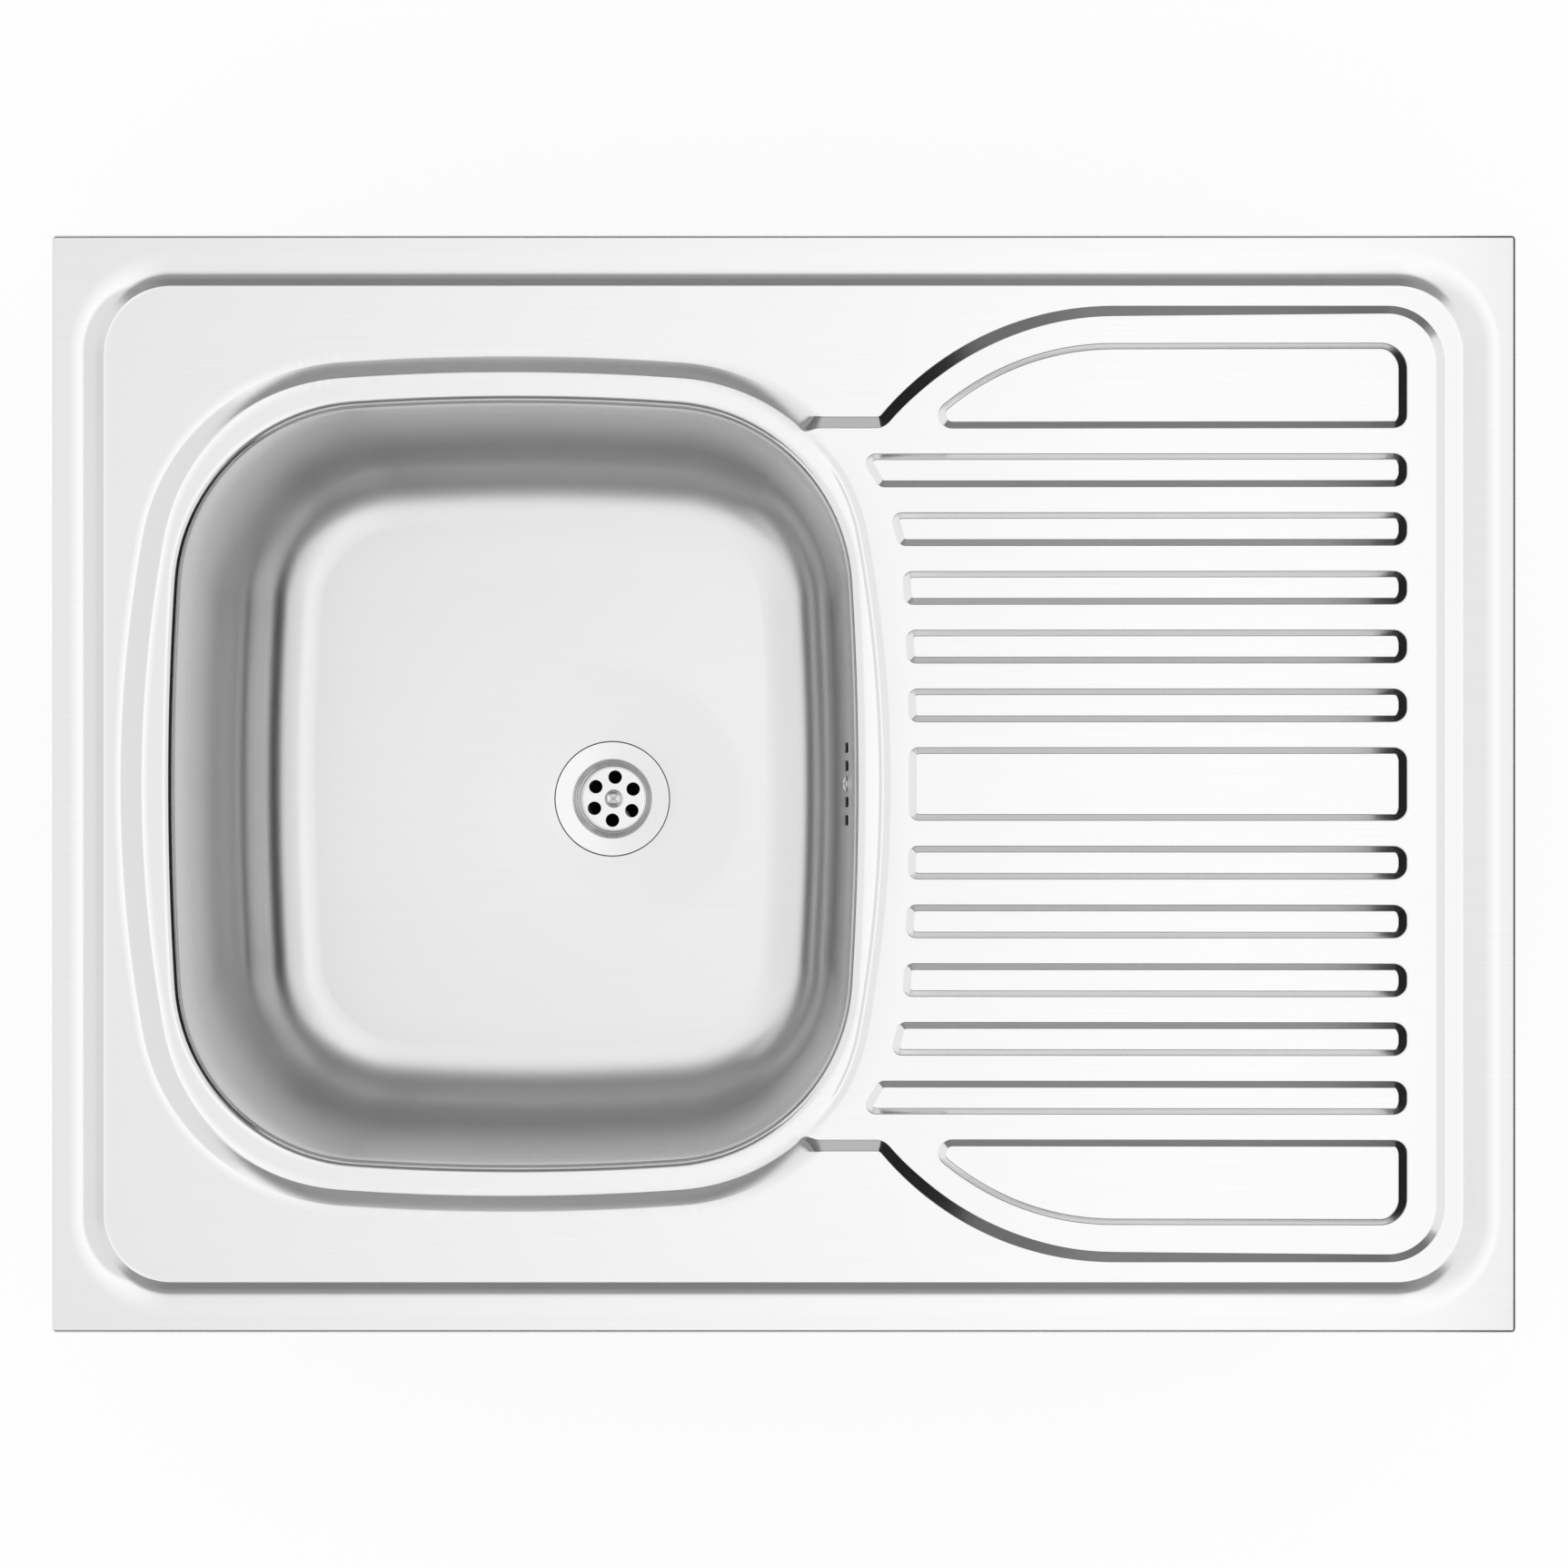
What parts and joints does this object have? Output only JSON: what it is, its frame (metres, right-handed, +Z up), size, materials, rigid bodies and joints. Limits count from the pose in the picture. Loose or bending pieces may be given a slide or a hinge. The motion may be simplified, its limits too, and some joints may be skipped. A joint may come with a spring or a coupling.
{
  "type": "kitchen sink with drainboard",
  "caption": "Lay-on stainless kitchen sink: one pressed sheet with a deep rounded bowl, a ribbed drainboard, a strainer waste and a slotted overflow.",
  "frame": {"origin": "middle of the plane in which the return flange lies on the base unit", "axes": "+X from the bowl to the drainboard, +Y to the wall behind the sink, +Z up"},
  "size_m": [0.8, 0.6, 0.2366],
  "materials": {
    "brushed_sheet": "fine satin brushed stainless steel",
    "polished_steel": "polished stainless steel",
    "zinc_steel": "zinc-plated sheet steel",
    "seal_rubber": "matt black rubber",
    "insert_brass": "turned brass",
    "body_plastic": "moulded polypropylene",
    "nut_plastic": "moulded polypropylene",
    "hose_plastic": "ribbed polypropylene",
    "damping_sheet": "bitumen sheet"
  },
  "bodies": {
    "sink": {"sink_pressing": "brushed_sheet", "waste_flange": "polished_steel", "waste_top_seal": "seal_rubber", "waste_under_seal": "seal_rubber", "waste_body": "body_plastic", "waste_insert": "insert_brass", "overflow_seal": "seal_rubber", "overflow_housing": "body_plastic", "overflow_insert": "insert_brass", "overflow_hose": "hose_plastic", "hose_seal_upper": "seal_rubber", "hose_seal_lower": "seal_rubber", "damping_pad": "damping_sheet", "stiffening_channel_near": "zinc_steel", "stiffening_channel_far": "zinc_steel", "corner_angle_left_front": "zinc_steel", "corner_angle_left_back": "zinc_steel", "corner_angle_right_front": "zinc_steel", "corner_angle_right_back": "zinc_steel"},
    "strainer_screw": {"strainer_screw": "polished_steel"},
    "overflow_screw": {"overflow_screw": "polished_steel"},
    "hose_nut_upper": {"hose_nut_upper": "nut_plastic"},
    "hose_nut_lower": {"hose_nut_lower": "nut_plastic"},
    "fixing_bracket_left_front": {"fixing_bracket_left_front": "zinc_steel"},
    "fixing_bracket_left_back": {"fixing_bracket_left_back": "zinc_steel"},
    "fixing_bracket_right_front": {"fixing_bracket_right_front": "zinc_steel"},
    "fixing_bracket_right_back": {"fixing_bracket_right_back": "zinc_steel"}
  },
  "joints": [
    {"name": "strainer_screw_turn", "type": "hinge", "parent": "sink", "child": "strainer_screw", "pos_m": [-0.1056, -0.0091, -0.1474], "axis": [0, 0, 1], "continuous": true},
    {"name": "overflow_screw_turn", "type": "hinge", "parent": "sink", "child": "overflow_screw", "pos_m": [0.03678, 0, -0.03456], "axis": [0.9973, 0, -0.0731], "continuous": true},
    {"name": "hose_nut_upper_turn", "type": "hinge", "parent": "sink", "child": "hose_nut_upper", "pos_m": [0.05062, 0, -0.06465], "axis": [-0.0731, 0, -0.9973], "continuous": true},
    {"name": "hose_nut_lower_turn", "type": "hinge", "parent": "sink", "child": "hose_nut_lower", "pos_m": [-0.05769, -0.00618, -0.16], "axis": [0.9981, 0.0609, 0], "continuous": true},
    {"name": "fixing_bracket_left_front_slide", "type": "slide", "parent": "sink", "child": "fixing_bracket_left_front", "axis": [0, 1, 0], "range_m": [-0.03, 0.03]},
    {"name": "fixing_bracket_left_back_slide", "type": "slide", "parent": "sink", "child": "fixing_bracket_left_back", "axis": [0, 1, 0], "range_m": [-0.03, 0.03]},
    {"name": "fixing_bracket_right_front_slide", "type": "slide", "parent": "sink", "child": "fixing_bracket_right_front", "axis": [0, 1, 0], "range_m": [-0.03, 0.03]},
    {"name": "fixing_bracket_right_back_slide", "type": "slide", "parent": "sink", "child": "fixing_bracket_right_back", "axis": [0, 1, 0], "range_m": [-0.03, 0.03]}
  ]
}
